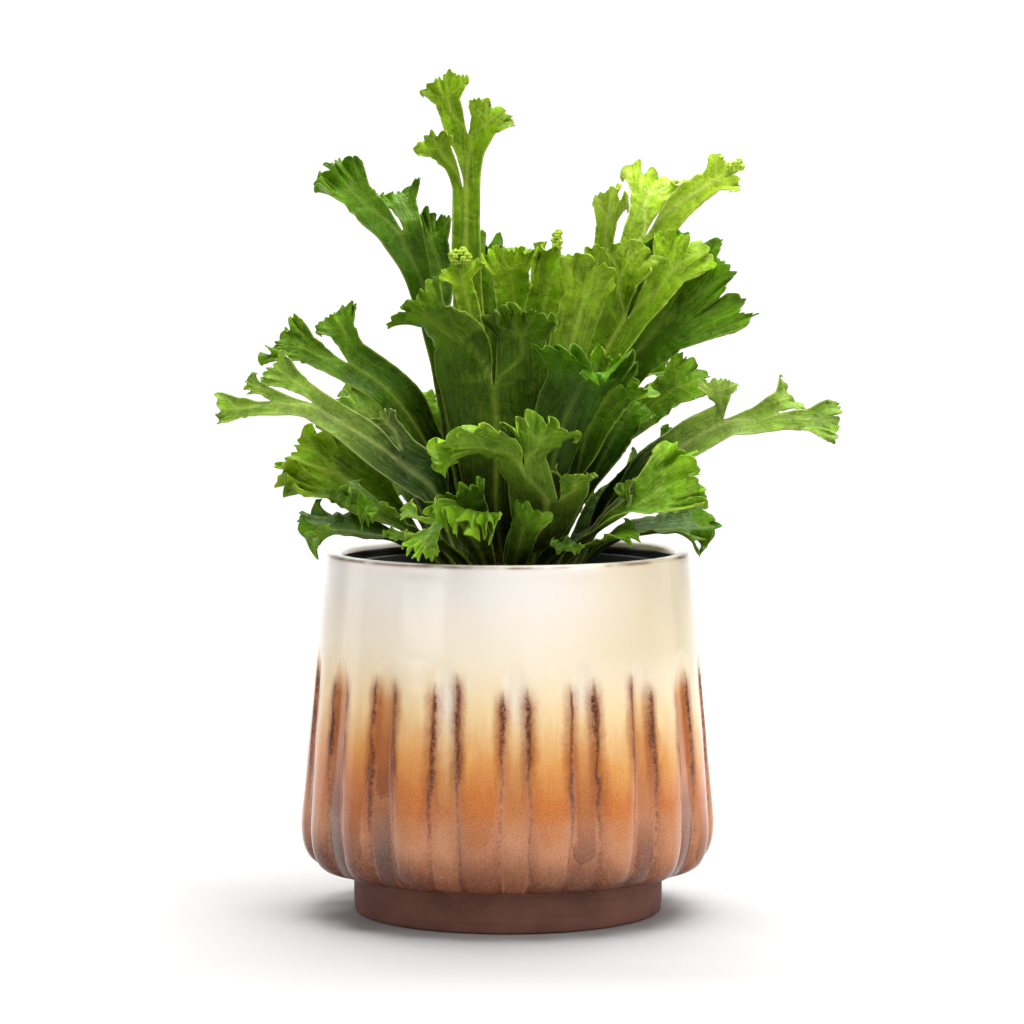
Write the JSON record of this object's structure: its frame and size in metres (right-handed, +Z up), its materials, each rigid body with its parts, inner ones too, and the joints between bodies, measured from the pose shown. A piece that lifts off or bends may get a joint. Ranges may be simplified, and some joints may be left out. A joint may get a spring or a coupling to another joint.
{
  "type": "potted crested bird's nest fern",
  "caption": "Crested bird's nest fern with forked, frilled strap fronds, in a nursery pot inside a fluted drip-glazed ceramic planter.",
  "frame": {"origin": "centre of the planter foot's underside, on the plane that it stands on", "axes": "+Z up, -Y towards the side seen in the picture, +X to that viewer's right"},
  "size_m": [0.2286, 0.1757, 0.3124],
  "materials": {
    "glaze": "glossy reactive glaze, cream above running through yellow and orange tan to pinkish brown, with dark brown drips in the flutes; the foot is bare matte reddish clay",
    "black_plastic": "satin black moulded plastic",
    "soil": "dark moist potting mix, rough",
    "crown": "brown fibrous rhizome with leaf bases and scales, rough",
    "leaf": "living leaf, satin, from dark green on old fronds to bright yellow green on young ones"
  },
  "bodies": {
    "root": {"planter": "glaze", "nursery_pot": "black_plastic", "soil": "soil", "crown": "crown", "frond_top": "leaf", "frond_upper_left": "leaf", "frond_middle": "leaf", "frond_left_curl": "leaf", "frond_back_light": "leaf", "frond_centre_light": "leaf", "frond_centre_right": "leaf", "frond_upper_right": "leaf", "frond_right_fan": "leaf", "frond_dark_right": "leaf", "frond_right_reach": "leaf", "frond_right_middle": "leaf", "frond_right_light_strap": "leaf", "frond_right_dark_strap": "leaf", "frond_right_inner": "leaf", "frond_right_crest": "leaf", "frond_right_rim": "leaf", "frond_front": "leaf", "frond_front_cup": "leaf", "frond_front_left_rim": "leaf", "frond_front_blade": "leaf", "frond_front_right_rim": "leaf", "frond_left_reach": "leaf", "frond_left_upper": "leaf", "frond_left_pale": "leaf", "frond_left_back": "leaf", "frond_left_fan": "leaf", "frond_left_rim": "leaf", "frond_left_glossy": "leaf", "frond_left_tongue": "leaf", "frond_left_low": "leaf", "frond_back_right_low": "leaf", "frond_back_right": "leaf", "frond_back_rim_right": "leaf", "frond_back": "leaf", "frond_back_rim_left": "leaf", "frond_back_upright": "leaf", "frond_back_upright_right": "leaf"}
  },
  "joints": []
}
